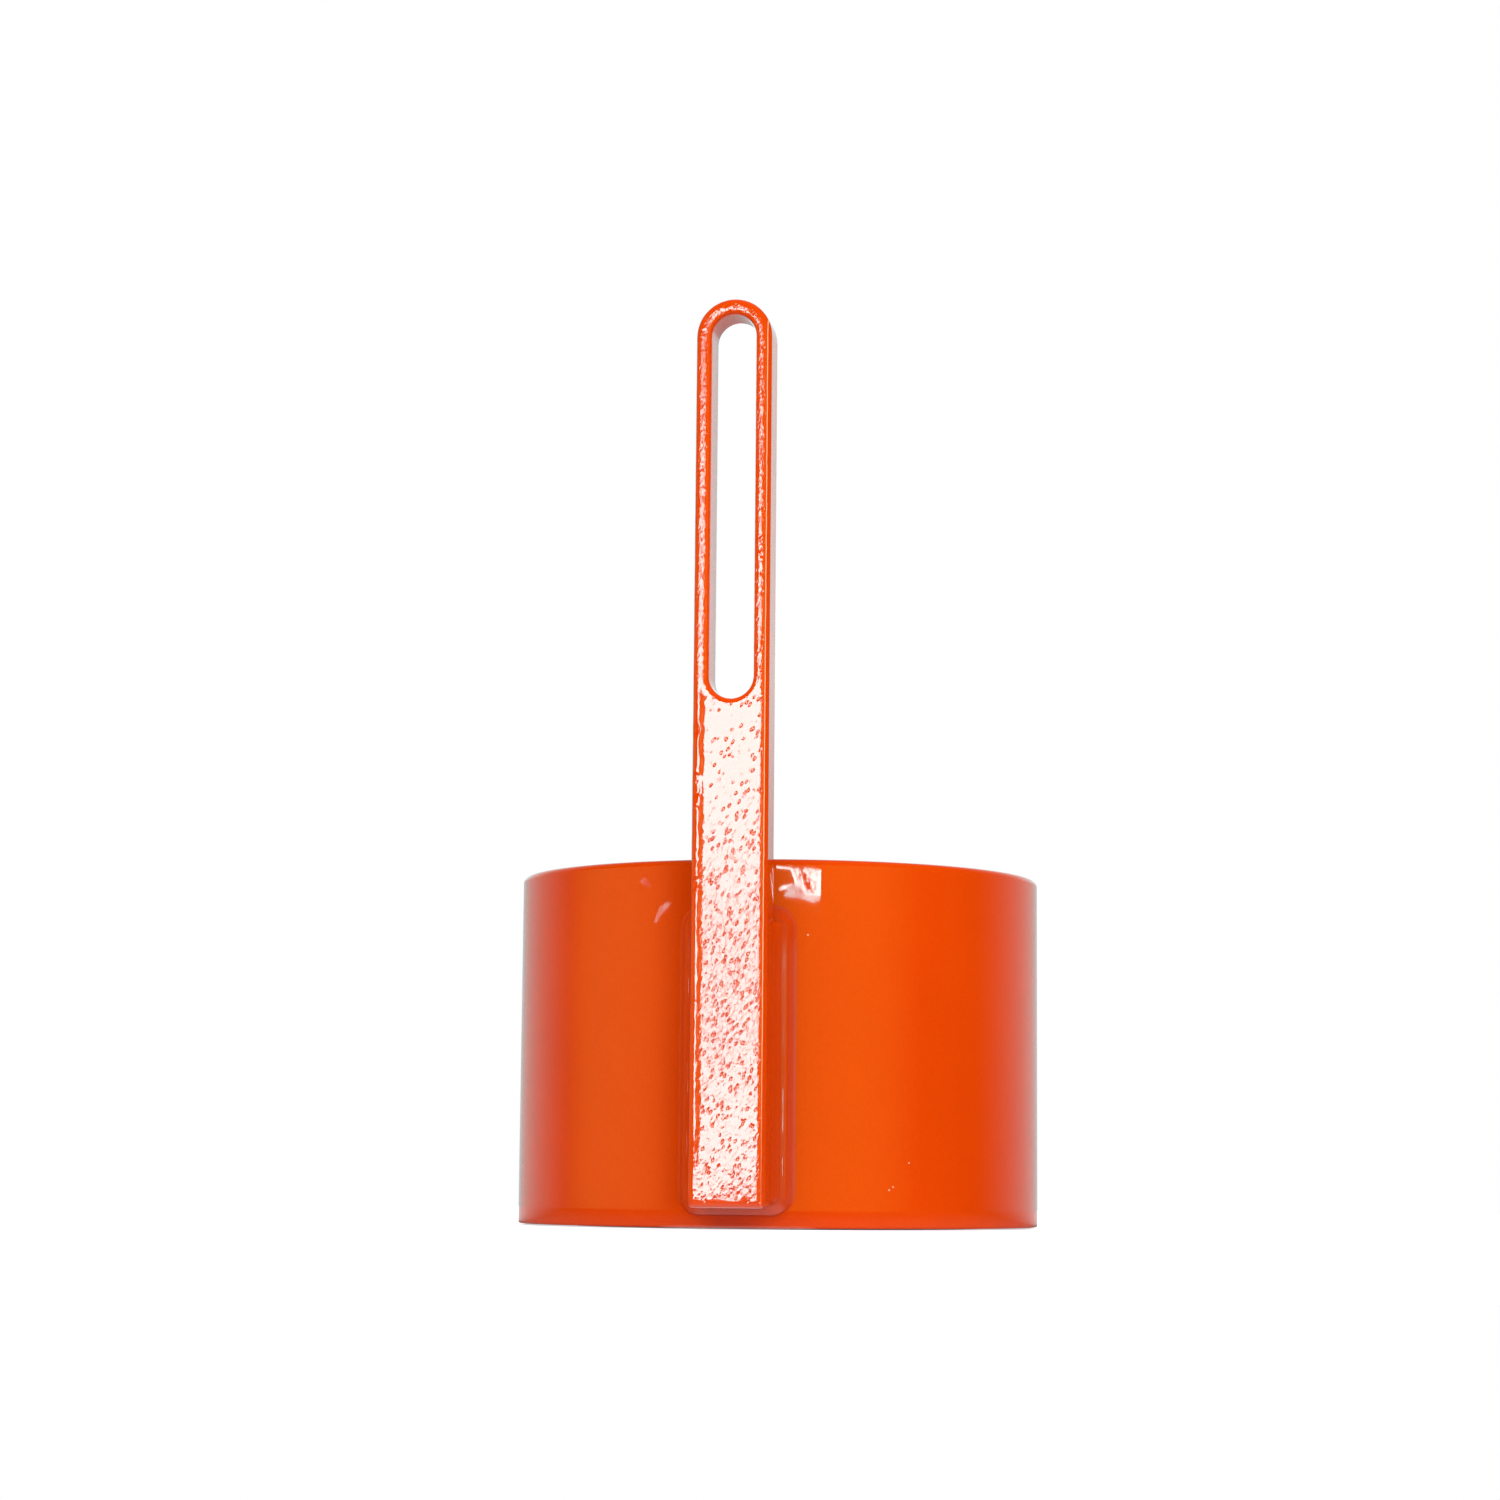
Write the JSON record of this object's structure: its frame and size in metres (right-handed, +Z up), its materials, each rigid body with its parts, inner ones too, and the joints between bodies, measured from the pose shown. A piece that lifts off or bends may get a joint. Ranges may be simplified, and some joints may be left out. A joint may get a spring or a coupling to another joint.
{
  "type": "kettlebell weight with slotted upright bar",
  "caption": "Round painted steel hand weight: a closed drum filled with ballast discs, with one slotted flat bar standing up its side to carry or hang it by.",
  "frame": {"origin": "centre of the foot, on the floor plane, on the drum's axis", "axes": "+Z up along the drum's axis; the upright bar stands on the -Y side and faces -Y; +X to the right seen from the bar's side"},
  "size_m": [0.18, 0.198, 0.3027],
  "materials": {
    "drum_paint": "smooth gloss orange powder coat",
    "bar_paint": "gloss orange powder coat over coarse rolled steel",
    "weld_paint": "gloss orange powder coat over weld metal",
    "ballast_steel": "sawn and rolled, oiled",
    "zinc_steel": "zinc plated",
    "pad_rubber": "matt moulded",
    "packing": "cork and rubber sheet"
  },
  "bodies": {
    "root": {"body_shell": "drum_paint", "top_plate": "drum_paint", "top_seam_weld": "weld_paint", "ballast_disc_1": "ballast_steel", "ballast_disc_2": "ballast_steel", "ballast_disc_3": "ballast_steel", "ballast_disc_4": "ballast_steel", "trim_disc": "ballast_steel", "packing_sheet": "packing", "base_plate": "drum_paint", "base_screws": "zinc_steel", "base_pad": "pad_rubber", "saddle_plate": "weld_paint", "saddle_weld": "weld_paint", "handle_bar": "bar_paint", "bar_left_weld": "weld_paint", "bar_right_weld": "weld_paint"}
  },
  "joints": []
}
